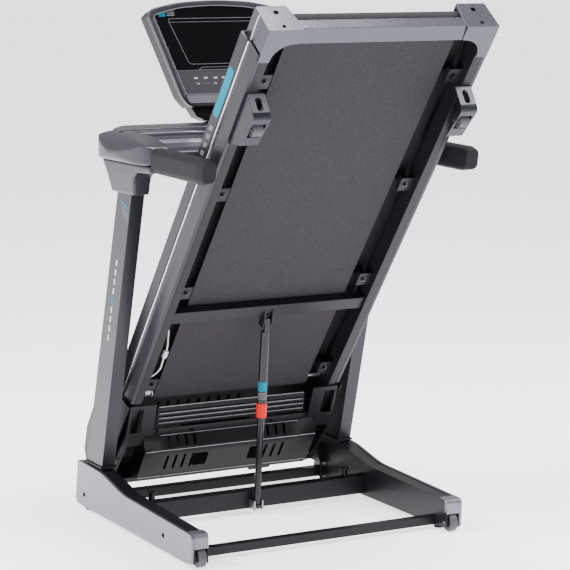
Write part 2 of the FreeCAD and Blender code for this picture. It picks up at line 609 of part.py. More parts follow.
def track(grow):
    """Solid racetrack round both rollers, `grow` outside them."""
    span = ("-belt_half", "belt_half")
    ends = [rod("x", span, (f"-{place}", "roller_w"), f"roller_r + {grow}")
            for place in ("front_roller", "rear_roller")]
    middle = deck_box(span, ("front_roller", "rear_roller"),
                      (f"roller_w - roller_r - ({grow})", f"roller_w + roller_r + ({grow})"))
    return fuse(middle, *ends)


def belt_loop(grow, low, high):
    """Band outline round motor pulley and roller pulley, `grow` outside both, as a solid."""
    centres = [V(low, -size("motor_u"), size("motor_w")), V(low, -size("front_roller"), size("roller_w"))]
    radii = [size("motor_pulley_r") + grow, size("pulley_r") + grow]
    way = centres[1] - centres[0]
    tilt = math.atan2(way.z, way.y)
    spread = math.acos((radii[0] - radii[1]) / way.Length)

    def rim(index, angle):
        reach = V(0, math.cos(angle), math.sin(angle)) * radii[index]
        return centres[index] + reach

    touch = [(index, tilt + sign * spread) for index, sign in ((0, 1), (0, -1), (1, -1), (1, 1))]
    start, end, far_start, far_end = [rim(index, angle) for index, angle in touch]
    near = rim(0, tilt + math.pi)
    far = rim(1, tilt)
    edges = [Part.Arc(start, near, end).toShape(), Part.LineSegment(end, far_start).toShape(),
             Part.Arc(far_start, far, far_end).toShape(), Part.LineSegment(far_end, start).toShape()]
    return Part.Face(Part.Wire(edges)).extrude(V(high - low, 0, 0))


def running_gear():
    node("running_belt", "deck", cut(track("belt_gap + belt_wall"), track("belt_gap")))
    whole = ("-roller_half - 1", "roller_half + 1")
    node("rear_roller", "deck", cut(
        roller("rear_roller"),
        rod("x", whole, ("-rear_roller", "roller_w"), "shaft_r + run_gap")))
    place = ("-front_roller", "roller_w")
    wheel = rod("x", ("-pulley_x", "-pulley_x + pulley_wide"), place, "pulley_r")
    hub = rod("x", ("-pulley_x + pulley_wide", "-roller_half"), place, "16")
    node("front_roller", "deck", cut(
        fuse(roller("front_roller"), wheel, hub),
        rod("x", ("-pulley_x - 1", "roller_half + 1"), place, "shaft_r + run_gap")))
    axles = [rod("x", ("-300", "300"), (f"-{where}", "roller_w"), "shaft_r")
             for where in ("front_roller", "rear_roller")]
    node("roller_axles", "deck", group(*axles))
    seats = [cut(deck_box(("frame_in + 2", "frame_out - 3"), (f"{where} - 17", f"{where} + 17"),
                          ("frame_high", "80")),
                 rod("x", ("280", "300"), (f"-{where}", "roller_w"), "shaft_r"))
             for where in ("front_roller", "rear_roller")]
    node("roller_seats", "deck", pair(group(*seats)))

    here = ("-motor_u", "motor_w")
    case = rod("x", ("-motor_half", "motor_half"), here, "motor_r")
    shaft_room = rod("x", ("-motor_half - 1", "-20"), here, "6 + run_gap")
    node("drive_motor", "deck", cut(case, shaft_room))
    node("motor_pulley", "deck", fuse(
        rod("x", ("-pulley_x", "-pulley_x + pulley_wide"), here, "motor_pulley_r"),
        rod("x", ("-pulley_x", "-21"), here, "6")))
    band = doc.addObject("Part::Feature", "Band")
    low = -size("pulley_x") + 2
    high = low + size("pulley_wide") - 4
    band.Shape = belt_loop(2.3, low, high).cut(belt_loop(0.3, low - 1, high + 1))
    node("drive_belt", "deck", band)

    cradle = [box(("-110", "110"), ("-124", "-66"), ("-22", "-18"))]
    for low_x, high_x in (("98", "110"), ("-110", "-98")):
        cradle.append(box((low_x, high_x), ("-124", "-66"), ("-22", "8.9")))
    for low_x, high_x in (("98", "312"), ("-312", "-98")):
        cradle.append(box((low_x, high_x), ("-124", "-66"), ("5", "8.9")))
    node("motor_bracket", "deck", fuse(*cradle))
    node("motor_controller", "deck", deck_box(("120", "255"), ("34", "135"), ("-34", "4")))


# ---------------------------------------------------------------- covers under and over the motor
def motor_covers():
    outer = deck_side("-hood_half", "hood_half", [
        ("-75", "48"), ("-75", "95"), ("-45", "140"), ("20", "165"), ("120", "168"), ("230", "140"),
        ("285", "112"), ("285", "98"), ("250", "98"), ("278", "hood_low"), ("60", "hood_low"),
        ("30", "48")])
    inner = deck_side("-hood_half + hood_wall", "hood_half - hood_wall", [
        ("-72", "-10"), ("-72", "94"), ("-43", "138"), ("21", "162"), ("120", "165"), ("229", "137"),
        ("290", "106"), ("290", "-10")])
    node("hood_cover", "deck", cut(outer, inner))

    skin = deck_side("-pan_half", "pan_half", [
        ("192", "-14"), ("172", "-16"), ("146", "-55"), ("44", "-59"), ("28", "-38"),
        ("31", "-36"), ("46", "-56"), ("144", "-52"), ("170", "-13"), ("192", "-11")])
    walls = [deck_side(low, high, [
        ("192", "-13"), ("172", "-15"), ("145", "-54"), ("45", "-58"), ("29", "-37"), ("29", "2"),
        ("192", "2")]) for low, high in (("pan_half - 3", "pan_half"), ("-pan_half", "-pan_half + 3"))]
    slots = []
    for index in range(4):
        for centre in (-190 + 26 * index, 90 + 26 * index):
            slots.append(deck_box((f"{centre} - 4", f"{centre} + 4"), ("150", "168"), ("-62", "0")))
            slots.append(deck_box((f"{centre} - 4", f"{centre} + 4"), ("70", "124"), ("-66", "-40")))
    node("belly_pan", "deck", cut(fuse(skin, *walls), *slots))

    slab = [("196", "-9"), ("246", "18"), ("246", "23"), ("196", "-4")]
    ribs = [deck_side("-rib_half + 4", "rib_half - 4", [
        (f"{place}", f"{height} - 3"), (f"{place} + 4", f"{height} - 1"), (f"{place} + 4", f"{height} + 4"),
        (f"{place}", f"{height} + 2")]) for place, height in ((206, -4), (218, 2.5), (230, 9))]
    node("ribbed_panel", "deck", fuse(deck_side("-rib_half", "rib_half", slab), *ribs))

    inlet = cut(deck_box(("148", "180"), ("-74", "-62"), ("14", "42")),
                deck_box(("151", "177"), ("-75", "-65"), ("18", "38")))
    pins = [rod("y", ("62", "70"), (x, w), "1.6") for x, w in (("158", "25"), ("170", "25"), ("164", "32"))]
    node("power_inlet", "deck", fuse(inlet, *pins))
    node("switch_frame", "deck", cut(
        deck_box(("190", "216"), ("-72", "-62"), ("14", "42")),
        deck_box(("192.5", "213.5"), ("-73", "-64"), ("16.5", "39.5"))))
    node("power_rocker", "deck", fuse(
        deck_side("193.5", "212.5", [
            ("-68.5", "18"), ("-71.5", "28"), ("-76", "38"), ("-68.5", "38")]),
        rod("x", ("193.5", "212.5"), ("67", "28"), "2.4")))


# ---------------------------------------------------------------- tail legs and strut head
def tail_legs():
    plate = deck_side("leg_out - leg_wall", "leg_out", [
        ("1383", "8.8"), ("1363", "-44"), ("1359", "-50.5"), ("1352", "-54.5"), ("1344", "-54"),
        ("1258", "-40"), ("1222", "8.8")])
    strap = deck_side("leg_in", "leg_out", [
        ("1383", "8.8"), ("1363", "-44"), ("1359", "-50.5"), ("1352", "-54.5"), ("1344", "-54"),
        ("1258", "-40"), ("1258", "-36"), ("1344", "-50"), ("1351", "-50.4"), ("1355.6", "-47.8"),
        ("1359", "-43"), ("1378.6", "8.8")])
    ear = deck_side("leg_in", "leg_in + 4", [
        ("1332", "-51"), ("1292", "-45"), ("1300", "-32"), ("1324", "-32")])
    window = deck_box(("leg_in + 6", "leg_out - 6"), ("1288", "1336"), ("-70", "-30"))
    oblong = fuse(deck_box(("284", "300"), ("1348", "1395"), ("-30", "-10")),
                  *[rod("y", ("-1395", "-1348"), ("292", w), "8") for w in ("-30", "-10")])
    axle_hole = rod("x", ("leg_in - 1", "leg_out + 1"), ("-leg_wheel_u", "leg_wheel_w"),
                    "axle_r + run_gap")
    node("rear_legs", "deck", pair(cut(fuse(plate, cut(strap, window, oblong), ear), axle_hole)))

    def wheel():
        middle = "(leg_in + leg_out)/2"
        place = ("-leg_wheel_u", "leg_wheel_w")
        tyre = rod("x", (f"{middle} - leg_wheel_wide/2", f"{middle} + leg_wheel_wide/2"), place,
                   "leg_wheel_r")
        return fuse(tyre, rod("x", ("leg_in + 0.5", "leg_out - 0.5"), place, "axle_r"))
    node("leg_wheel_right", "deck", wheel())
    node("leg_wheel_left", "deck", mirror(wheel()))

    ear_plate = deck_side("eye_half + 2", "eye_half + 6", [
        ("strut_u - 13", "cross_low + 8"), ("cross_front", "cross_low + 8"), ("cross_front", "cross_low"),
        ("cross_front + 26", "cross_low"), ("strut_u + 12", "strut_w - 12"),
        ("strut_u - 13", "strut_w - 12")],
        holes=[("strut_u", "strut_w", "pin_r")])
    pin = rod("x", ("-eye_half - 8", "eye_half + 8"), ("-strut_u", "strut_w"), "pin_r")
    node("strut_head_bracket", "deck", group(pair(ear_plate), pin))


def lead():
    """Sensor lead clipped along the left side frame, with its two plug bodies."""
    route = [V(-286.8, -560, 34), V(-279, -551, 34), V(-272, -536, 33), V(-268, -512, 31),
             V(-262, -486, 29), V(-260, -462, 29)]
    tail = [V(-260, -438, 29), V(-259, -416, 29), V(-256, -392, 31), V(-262, -371, 33),
            V(-276, -357, 34), V(-286.8, -348, 34)]
    runs = doc.addObject("Part::Feature", "Runs")
    runs.Shape = Part.makeCompound([tube(route, 2.2), tube(tail, 2.2)])
    plugs = [box((f"{low_x}", f"{low_x + 11}"), (f"{low_y}", f"{low_y + 12}"), ("24.5", "33.5"))
             for low_x, low_y in ((-265.5, -462), (-265.5, -450))]
    node("sensor_lead", "deck", group(runs, *plugs))


for build in (base, uprights, console, strut, deck_frame, running_gear, motor_covers, tail_legs, lead):
    build()
doc.recompute()

# ---------------------------------------------------------------- checks and export
bad = [obj.Label for obj in doc.Objects if {"Invalid", "Error"} & set(obj.State)]
bad += [obj.Label for obj in NODES if obj.Shape.isNull() or not obj.Shape.isValid()]
if bad:
    raise SystemExit("failed objects: " + ", ".join(bad))

os.makedirs("parts", exist_ok=True)
for obj in NODES:
    obj.Shape.exportStep(os.path.join("parts", obj.Label + ".step"))
whole = FreeCAD.BoundBox()
for obj in NODES:
    whole.add(obj.Shape.BoundBox)
print(len(NODES), "nodes", whole)
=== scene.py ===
"""Looks of the folding treadmill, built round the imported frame.

Lengths are in mm and angles in degrees unless a comment says otherwise. An outline's points are
(y, z) for a prism along x, (x, z) for one along y and (x, y) for one along z. "base", "deck",
"console" and "strut" pieces are drawn in frames of their own: FLOOR, DECK, CONSOLE and STRUT.
"""
import json
import math

import bmesh
import bpy
from mathutils import Matrix, Vector


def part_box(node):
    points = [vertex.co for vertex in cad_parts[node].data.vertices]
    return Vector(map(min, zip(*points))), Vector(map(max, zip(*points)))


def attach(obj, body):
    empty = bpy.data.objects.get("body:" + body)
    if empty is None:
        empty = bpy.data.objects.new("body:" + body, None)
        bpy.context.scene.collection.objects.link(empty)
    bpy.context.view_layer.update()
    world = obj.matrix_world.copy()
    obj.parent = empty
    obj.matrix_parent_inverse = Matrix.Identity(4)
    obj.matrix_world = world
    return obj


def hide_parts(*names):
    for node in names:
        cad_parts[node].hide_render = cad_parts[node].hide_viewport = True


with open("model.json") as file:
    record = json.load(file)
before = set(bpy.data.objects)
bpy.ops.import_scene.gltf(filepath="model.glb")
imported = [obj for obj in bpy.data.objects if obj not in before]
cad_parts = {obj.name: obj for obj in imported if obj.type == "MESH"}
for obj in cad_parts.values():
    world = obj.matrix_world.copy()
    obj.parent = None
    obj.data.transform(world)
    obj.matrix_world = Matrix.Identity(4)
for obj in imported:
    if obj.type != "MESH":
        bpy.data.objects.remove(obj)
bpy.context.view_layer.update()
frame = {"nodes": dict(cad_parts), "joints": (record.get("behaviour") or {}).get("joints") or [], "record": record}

JOINTS = {joint["name"]: joint for joint in frame["joints"]}
BODY = {node: body for body, nodes in frame["record"]["behaviour"]["bodies"].items() for node in nodes}
SIDES = (("right", 1), ("left", -1))
MM = 0.001
FOLD_Y = 0.171                      # metres: the fold axis in the base's own frame
DECK_RISE = 52.5                    # from the floor to the stored deck
CONSOLE_LEAN = 11
CONSOLE_ORIGIN = (0, 0.1, 1.1)      # metres, in the base's own frame
PIVOT = Vector(JOINTS["deck_fold"]["pos_m"])
SHIFT = PIVOT.y - FOLD_Y
FLOOR = Matrix.Translation((0, SHIFT, 0))
DECK = Matrix.Translation(PIVOT) @ Matrix.Rotation(math.radians(-DECK_RISE), 4, "X")
CONSOLE = (FLOOR @ Matrix.Translation(CONSOLE_ORIGIN)
           @ Matrix.Rotation(math.radians(-CONSOLE_LEAN), 4, "X"))
STRUT_FOOT = Vector(JOINTS["strut_swing"]["pos_m"])
STRUT_AXIS = Vector(JOINTS["strut_slide"]["axis"])
STRUT_TURN = math.atan2(-STRUT_AXIS.y, STRUT_AXIS.z)       # radians
STRUT = Matrix.Translation(STRUT_FOOT) @ Matrix.Rotation(STRUT_TURN, 4, "X")


# ---------------------------------------------------------------- materials
def linear(red, green, blue):
    """Linear colour from 8-bit sRGB values."""
    def one(value):
        value /= 255
        return value / 12.92 if value <= 0.04045 else ((value + 0.055) / 1.055) ** 2.4
    return (one(red), one(green), one(blue), 1.0)


def scaled(colour, factor):
    """Brighter or darker copy of a colour."""
    return tuple(min(1.0, part * factor) for part in colour[:3]) + (1.0,)


def material(name, colour, rough, metal=0.0, mottle=0.05, mottle_scale=14.0, grain=0.12,
             grain_scale=1400.0, rough_span=0.03, edge_highlight=0.0, spec=0.5, weave=0.0, stretch=(1, 1, 1)):
    """Procedural surface: colour and roughness drift, fine grain, woven specks and painted highlights on sharp
    edges.
    """
    mat = bpy.data.materials.new(name)
    mat.use_nodes = True
    tree = mat.node_tree
    shader = tree.nodes["Principled BSDF"]
    shader.inputs["Metallic"].default_value = metal
    shader.inputs["Specular IOR Level"].default_value = spec

    def add(kind, **values):
        item = tree.nodes.new(kind)
        for key, value in values.items():
            item.inputs[key.replace("_", " ")].default_value = value
        return item

    def tinted(below, above, factor):
        """Lay a colour over a colour or an output, by a factor's output."""
        item = tree.nodes.new("ShaderNodeMix")
        item.data_type = "RGBA"
        if isinstance(below, tuple):
            item.inputs["A"].default_value = below
        else:
            tree.links.new(below, item.inputs["A"])
        item.inputs["B"].default_value = above
        tree.links.new(factor, item.inputs["Factor"])
        return item.outputs["Result"]

    coord = add("ShaderNodeTexCoord")
    mapping = add("ShaderNodeMapping", Scale=stretch)
    tree.links.new(coord.outputs["Object"], mapping.inputs["Vector"])
    broad = add("ShaderNodeTexNoise", Scale=mottle_scale, Detail=5.0, Roughness=0.6)
    fine = add("ShaderNodeTexNoise", Scale=grain_scale, Detail=2.0, Roughness=0.5)
    for item in (broad, fine):
        tree.links.new(mapping.outputs["Vector"], item.inputs["Vector"])
    shade = tinted(scaled(colour, 1 - mottle), scaled(colour, 1 + mottle), broad.outputs["Fac"])
    height = fine.outputs["Fac"]
    if weave:
        thread = add("ShaderNodeTexVoronoi", Scale=weave)
        tree.links.new(mapping.outputs["Vector"], thread.inputs["Vector"])
        height = thread.outputs["Distance"]
        speck = add("ShaderNodeMapRange", From_Min=0.55, From_Max=0.8, To_Min=0.0, To_Max=0.55)
        tree.links.new(height, speck.inputs["Value"])
        shade = tinted(shade, scaled(colour, 2.1), speck.outputs["Result"])
    # painted highlight: sharp edges, found by pointiness, are lightened as if they caught the light
    if edge_highlight:
        place = tree.nodes.new("ShaderNodeNewGeometry")
        edge = add("ShaderNodeMapRange", From_Min=0.52, From_Max=0.62, To_Min=0.0, To_Max=edge_highlight)
        tree.links.new(place.outputs["Pointiness"], edge.inputs["Value"])
        shade = tinted(shade, scaled(colour, 2.5), edge.outputs["Result"])
    tree.links.new(shade, shader.inputs["Base Color"])
    polish = add("ShaderNodeMapRange", From_Min=0.3, From_Max=0.7,
                 To_Min=max(0.03, rough - rough_span), To_Max=min(1.0, rough + rough_span))
    tree.links.new(broad.outputs["Fac"], polish.inputs["Value"])
    tree.links.new(polish.outputs["Result"], shader.inputs["Roughness"])
    bump = add("ShaderNodeBump", Strength=grain, Distance=0.0004)
    tree.links.new(height, bump.inputs["Height"])
    tree.links.new(bump.outputs["Normal"], shader.inputs["Normal"])
    return mat


SILVER = material("silver_paint", linear(112, 112, 120), 0.34, metal=0.6, grain=0.015)
CAP_SILVER = material("cap_silver", linear(78, 78, 86), 0.28, metal=0.7, grain=0.015)
RAIL_GREY = material("rail_grey", linear(44, 44, 51), 0.3, metal=0.6, grain=0.015)
POST_GREY = material("post_grey", linear(46, 46, 51), 0.3, metal=0.6, grain=0.015)
STEP_GREY = material("step_grey", linear(38, 37, 43), 0.36, metal=0.4, grain=0.015)
# BLACK_PAINT, BLACK_PLASTIC and HOOD_GREY carry painted highlights on their sharp edges
BLACK_PAINT = material("black_paint", linear(22, 21, 25), 0.34, metal=0.1, grain=0.12, edge_highlight=0.5, spec=0.2)
BLACK_PLASTIC = material("black_plastic", linear(15, 14, 17), 0.32, grain=0.2, edge_highlight=0.45, spec=0.18)
SHROUD_GREY = material("shroud_grey", linear(56, 54, 62), 0.3, metal=0.5, grain=0.08)
GRIP_RUBBER = material("grip_rubber", linear(28, 26, 29), 0.55, grain=0.45, grain_scale=900, mottle=0.15,
                       spec=0.12)
RUBBER = material("rubber", linear(18, 17, 19), 0.6, grain=0.5, grain_scale=700, mottle=0.2, spec=0.15)
TREAD = material("wheel_tread", linear(66, 65, 70), 0.55, grain=0.4, grain_scale=600, mottle=0.2)
CHROME = material("chrome_strip", linear(214, 214, 222), 0.2, metal=0.9, grain=0.02, mottle=0.03,
                  rough_span=0.04)
STEEL = material("bright_steel", linear(150, 150, 154), 0.3, metal=0.95, grain=0.1, mottle=0.1,
                 stretch=(1, 8, 8))
DARK_STEEL = material("dark_steel", linear(24, 23, 27), 0.2, metal=0.3, grain=0.05, mottle=0.12, spec=0.4)
# painted highlight: colour of the bright lines along the folded edges of the ribbed panel and the belly pan
GLINT = material("ridge_glint", linear(176, 175, 184), 0.3, metal=0.6, grain=0.05)
# painted highlight: lighter copy of LEG_GREY for the lit outer faces of the tail legs' straps
LEG_LIT_FACE = material("leg_lit_face", linear(132, 132, 140), 0.3, metal=0.6, grain=0.015)
# painted shade: black for holes, vents, windows and the end plate's notch, whose insides lie in shade; also the
# dark hood seams
HOLE_SHADE_AND_SEAM = material("hole_shade_and_seam", linear(5, 5, 6), 0.9, grain=0.05, spec=0.02)
BELT = material("belt_cloth", linear(44, 42, 46), 0.75, grain=0.6, mottle=0.16, mottle_scale=60,
                weave=420.0, spec=0.12)
BOARD = material("deck_board", linear(24, 23, 25), 0.55, grain=0.4, grain_scale=500, mottle=0.25,
                 stretch=(1, 12, 12), spec=0.15)
GLASS = material("display_glass", linear(5, 5, 7), 0.08, grain=0.0, mottle=0.1, rough_span=0.02, spec=0.14)
PANEL = material("key_panel", linear(56, 55, 61), 0.45, grain=0.15, spec=0.3)
SILL = material("console_sill", linear(118, 117, 126), 0.36, metal=0.4, grain=0.08)
BEZEL = material("console_bezel", linear(50, 48, 55), 0.34, metal=0.4, grain=0.1)
CYAN = material("cyan_print", linear(0, 118, 140), 0.5, grain=0.05, mottle=0.04, spec=0.05)
PALE = material("pale_print", linear(190, 192, 196), 0.5, grain=0.05, mottle=0.05)
DIM = material("dim_print", linear(96, 96, 102), 0.5, grain=0.05, mottle=0.05)
RED = material("red_sleeve", linear(210, 30, 14), 0.4, grain=0.1, mottle=0.05, spec=0.15)
WHITE_LEAD = material("white_lead", linear(206, 204, 198), 0.45, grain=0.1, mottle=0.05)
BOARD_GREEN = material("circuit_board", linear(20, 76, 38), 0.5, grain=0.3, mottle=0.2)
LEG_GREY = material("leg_grey", linear(52, 52, 59), 0.28, metal=0.7, grain=0.015)
HOOD_GREY = material("hood_grey", linear(28, 27, 31), 0.42, grain=0.25, metal=0.15, edge_highlight=0.2)


# ---------------------------------------------------------------- mesh tools
def finish_piece(obj, body, mat, smooth=35.0):
    """Give a piece its finish, shade it and make it ride."""
    obj.data.materials.clear()
    obj.data.materials.append(mat)
    for face in obj.data.polygons:
        face.material_index = 0
        face.use_smooth = True
    if smooth < 180:
        obj.data.set_sharp_from_angle(angle=math.radians(smooth))
        even = obj.modifiers.new("even", "WEIGHTED_NORMAL")
        even.keep_sharp = True
        settled(obj)
    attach(obj, body)
    return obj


def new_object(name, bm, place=None):
    """Object made from a bmesh, which is used up."""
    if place is not None:
        bm.transform(place)
    bmesh.ops.recalc_face_normals(bm, faces=bm.faces)
    mesh = bpy.data.meshes.new(name)
    bm.to_mesh(mesh)
    bm.free()
    obj = bpy.data.objects.new(name, mesh)
    bpy.context.scene.collection.objects.link(obj)
    return obj


def bevelled(obj, width, segments=3, angle=30.0):
    """Round the sharp edges of a mesh for good."""
    if width:
        rounding = obj.modifiers.new("rounding", "BEVEL")
        rounding.width = width * MM
        rounding.segments = segments
        rounding.limit_method = "ANGLE"
        rounding.angle_limit = math.radians(angle)
        rounding.use_clamp_overlap = True
        rounding.miter_outer = "MITER_ARC"
    return settled(obj)


def settled(obj):
    """Apply every modifier of an object."""
    graph = bpy.context.evaluated_depsgraph_get()
    mesh = bpy.data.meshes.new_from_object(obj.evaluated_get(graph))
    obj.modifiers.clear()
    obj.data = mesh
    return obj


def level(bm, outline, distance, axis):
    """Vertices of an outline at a distance along an axis."""
    order = {"x": (2, 0, 1), "y": (0, 2, 1), "z": (0, 1, 2)}[axis]
    points = [(a, b, distance) for a, b in outline]
    return [bm.verts.new(Vector([point[index] for index in order]) * MM) for point in points]


def prism(name, outline, low, high, axis, place):
    """Closed prism over an outline, between two distances along an axis."""
    bm = bmesh.new()
    rings = [level(bm, outline, distance, axis) for distance in (low, high)]
    bm.faces.new(rings[0])
    bm.faces.new(list(reversed(rings[1])))
    for index in range(len(outline)):
        after = (index + 1) % len(outline)
        bm.faces.new((rings[0][index], rings[0][after], rings[1][after], rings[1][index]))
    return new_object(name, bm, place)


def side_prism(name, outline, x, sign, place):
    """Prism along x between two limits, on the side of a sign."""
    return prism(name, outline, x[0] * sign, x[1] * sign, "x", place)


def ring(name, outer, inner, low, high, axis, place):
    """Frame between two outlines of equally many points."""
    bm = bmesh.new()
    out_low, out_high, in_low, in_high = (level(bm, outline, distance, axis)
                                          for outline in (outer, inner) for distance in (low, high))
    for index in range(len(outer)):
        after = (index + 1) % len(outer)
        for one, two in ((out_low, out_high), (in_low, in_high), (out_low, in_low), (out_high, in_high)):
            bm.faces.new((one[index], one[after], two[after], two[index]))
    return new_object(name, bm, place)


def block(name, x, y, z, place):
    """Box between three pairs of limits."""
    outline = [(x[0], y[0]), (x[1], y[0]), (x[1], y[1]), (x[0], y[1])]
    return prism(name, outline, z[0], z[1], "z", place)


def arc(centre, radius, start, end, steps):
    """Points along an arc, both ends included."""
    turns = [math.radians(start + (end - start) * step / steps) for step in range(steps + 1)]
    return [(centre[0] + radius * math.cos(turn), centre[1] + radius * math.sin(turn)) for turn in turns]


def disc(name, centre, radius, low, high, axis, place, sides=40):
    """Short cylinder, or a prism with few sides."""
    outline = arc(centre, radius, 0, 360 * (sides - 1) / sides, sides - 1)
    return prism(name, outline, low, high, axis, place)


def eased(points, radius, steps=5):
    """Outline with its corners rounded; radius is one number or one per corner."""
    radii = radius if isinstance(radius, (list, tuple)) else [radius] * len(points)
    out = []
    for index, corner in enumerate(points):
        here = Vector(corner)
        before = Vector(points[index - 1]) - here
        after = Vector(points[(index + 1) % len(points)]) - here
        reach = min(radii[index], before.length * 0.45, after.length * 0.45)
        start, end = here + before.normalized() * reach, here + after.normalized() * reach
        for step in range(steps + 1):
            part = step / steps
            out.append(tuple(start * (1 - part) ** 2 + here * 2 * part * (1 - part) + end * part ** 2))
    return out


def inset(points, amount):
    """Outline moved inwards by an amount, corner by corner."""
    area = sum(a[0] * b[1] - b[0] * a[1] for a, b in zip(points, points[1:] + points[:1]))
    turn = 1 if area > 0 else -1
    out = []
    for index, corner in enumerate(points):
        here = Vector(corner)
        one = (here - Vector(points[index - 1])).normalized()
        two = (Vector(points[(index + 1) % len(points)]) - here).normalized()
        normal_one, normal_two = Vector((-one.y, one.x)) * turn, Vector((-two.y, two.x)) * turn
        middle = (normal_one + normal_two).normalized()
        out.append(tuple(here + middle * amount / max(0.3, middle.dot(normal_one))))
    return out


def joined(base, adds=(), cuts=(), within=()):
    """Boolean union, difference and intersection of closed meshes; the tools are removed."""
    for tools, operation in ((adds, "UNION"), (cuts, "DIFFERENCE"), (within, "INTERSECT")):
        for tool in tools:
            step = base.modifiers.new("shape", "BOOLEAN")
            step.operation = operation
            step.solver = "EXACT"
            step.object = tool
    settled(base)
    for tool in list(adds) + list(cuts) + list(within):
        bpy.data.objects.remove(tool, do_unlink=True)
    return base


def moulded(obj, voxel, rounds):
    """Turn a hard-edged solid into a smooth moulding with rounded edges."""
    skin = obj.modifiers.new("skin", "REMESH")
    skin.mode = "VOXEL"
    skin.voxel_size = voxel * MM
    soft = obj.modifiers.new("soft", "SMOOTH")
    soft.factor = 0.5
    soft.iterations = rounds
    return settled(obj)


def refined(node, mat, width=1.2, segments=2, angle=30.0, merge=True):
    """Stand-in for a CAD node: the same shape with rounded edges."""
    bm = bmesh.new()
    bm.from_mesh(frame["nodes"][node].data)
    bmesh.ops.remove_doubles(bm, verts=bm.verts, dist=1e-6)
    if merge:
        bmesh.ops.dissolve_limit(bm, angle_limit=math.radians(0.8), verts=bm.verts, edges=bm.edges)
    obj = bevelled(new_object(node + "_skin", bm), width, segments, angle)
    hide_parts(node)
    return finish_piece(obj, BODY[node], mat)


def plated(obj, body, mat, width=0.3, segments=2):
    """Round a piece's edges and finish it."""
    return finish_piece(bevelled(obj, width, segments), body, mat)


def finished(node, mat):
    """Give a carried-over CAD node its finish."""
    obj = frame["nodes"][node]
    obj.data.materials.clear()
    obj.data.materials.append(mat)


def cushion_bolt(name, place):
    """Washer and hexagon head standing on a plane; +Z of `place` points away from it."""
    radius, deep = 5.5, 6.0
    washer = disc(name + "_washer", (0, 0), radius * 1.7, 0, deep * 0.3, "z", place, 32)
    plated(washer, "deck", DARK_STEEL, 0.4)
    head = disc(name + "_head", (0, 0), radius, deep * 0.25, deep, "z", place, 6)
    plated(head, "deck", DARK_STEEL, 0.6)


def across(points, sign):
    """Outline mirrored to the side of a sign."""
    return [(sign * a, b) for a, b in points]


# ---------------------------------------------------------------- base
COVER_EDGE = [(-516, 14), (-520, 80), (-512, 89), (-105, 102), (37, 133), (193, 138), (211, 26), (202, 15),
              (-490, 10)]
CAP_EDGE = [(-520, 50), (-520, 90), (-486, 91.5), (-486, 88.2), (-508, 87), (-508.4, 50)]
CAP_X = (352, 391.8)
COVER_X = (392.1, 399.9)
HOLE_X = (399.4, 400.5)
COVER_HOLES = ((151, 48), (-355, 51))
WHEEL_X = 371
AXLE = (-506, 26)
HUB = (9.5, 11.5)                   # from the wheel's middle plane to a hub's two faces


def build_base():
    """Floor rails with their covers and caps, cross tubes, pivots, feet and transport wheels."""
    refined("base_rails", BLACK_PAINT, 2.0, 3)
    refined("base_cross_tubes", BLACK_PAINT, 2.5, 3)
    refined("pivot_brackets", BLACK_PAINT, 1.2)
    refined("deck_pivot_bolts", STEEL, 0.8)
    refined("stop_posts", BLACK_PLASTIC, 1.2, 3)
    refined("base_feet", RUBBER, 1.0)
    refined("strut_foot_bracket", STEEL, 0.8)
    refined("upright_collars", BLACK_PLASTIC, 1.2)
    finished("transport_wheel_axles", STEEL)
    wraps, covers = [], []
    for name, sign in SIDES:
        wrap = side_prism(f"base_end_cap_{name}", eased(CAP_EDGE, [2, 13, 1, 1, 8, 2], 6), CAP_X, sign, FLOOR)
        wraps.append(plated(wrap, "root", SILVER, 0.8, 3))
        outline = eased(COVER_EDGE, [2, 5, 6, 30, 30, 4, 6, 4, 4])
        cover = side_prism(f"side_cover_{name}", outline, COVER_X, sign, FLOOR)
        covers.append(plated(cover, "root", SILVER, 1.4, 3))
        # painted shade: a black disc stands in for the shaded inside of each hole
        for y, z in COVER_HOLES:
            low, high = (x * sign for x in HOLE_X)
            hole = disc(f"cover_hole_{name}_{abs(y)}", (y, z), 6.4, low, high, "x", FLOOR)
            plated(hole, "root", HOLE_SHADE_AND_SEAM, 0.1)
        wheel = f"transport_wheel_{name}"
        refined(wheel, TREAD, 3.5, 4)
        for where, way in (("in", -1), ("out", 1)):
            low, high = sorted(WHEEL_X * sign + way * reach for reach in HUB)
            hub = disc(f"{wheel}_hub_{where}", AXLE, 13, low, high, "x", FLOOR)
            plated(hub, wheel, BLACK_PLASTIC, 0.6)
    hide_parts("base_end_caps")
    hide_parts("base_side_covers")


# ---------------------------------------------------------------- uprights, pods, tray, grips
POD_TOP = [(-300, 989), (-2, 989), (32, 1001), (56, 1020), (46, 1042), (-16, 1062), (-110, 1068),
           (-200, 1054), (-300, 1038)]
POD_LOW = [(-50, 905), (-186, 905), (-192, 950), (-216, 967), (-300, 971), (-300, 988.4), (-2, 988.4),
           (-28, 950)]
POD_PLAN = [(338, -300), (402, -300), (414, -230), (420, -140), (420, -60), (411, 4), (386, 46), (338, 64)]
POD_FRONT = [(338, 985), (410, 985), (420, 1000), (420, 1018), (409, 1046), (384, 1064), (338, 1070)]
TRAY = [(-216, 985), (-216, 1016), (-196, 1022), (60, 1056), (120, 1062), (142, 1050), (142, 1008),
        (100, 985)]
TRAY_PLAN = [(-349, -230), (349, -230), (349, 66), (290, 124), (180, 143), (-180, 143), (-290, 124),
             (-349, 66)]
BOWL = ((50, 384), (-190, 12))      # x and y limits of a pod's recess at its rim
BOWL_STEPS = ((1044, 0), (1034, 4), (1025, 9), (1018, 17), (1014, 28))     # floor height, inset
SLOT = ((60, 345), (38, 56))
SLOT_FLOOR = 1030
CLEAR_TOP = 1100                    # above everything on the shroud
POD_LOW_X = (345, 402)
POD_LOW_FOOT, POD_LOW_WAIST = 905, 975      # the lower shell narrows below its waist
POST_FACE = 387.7
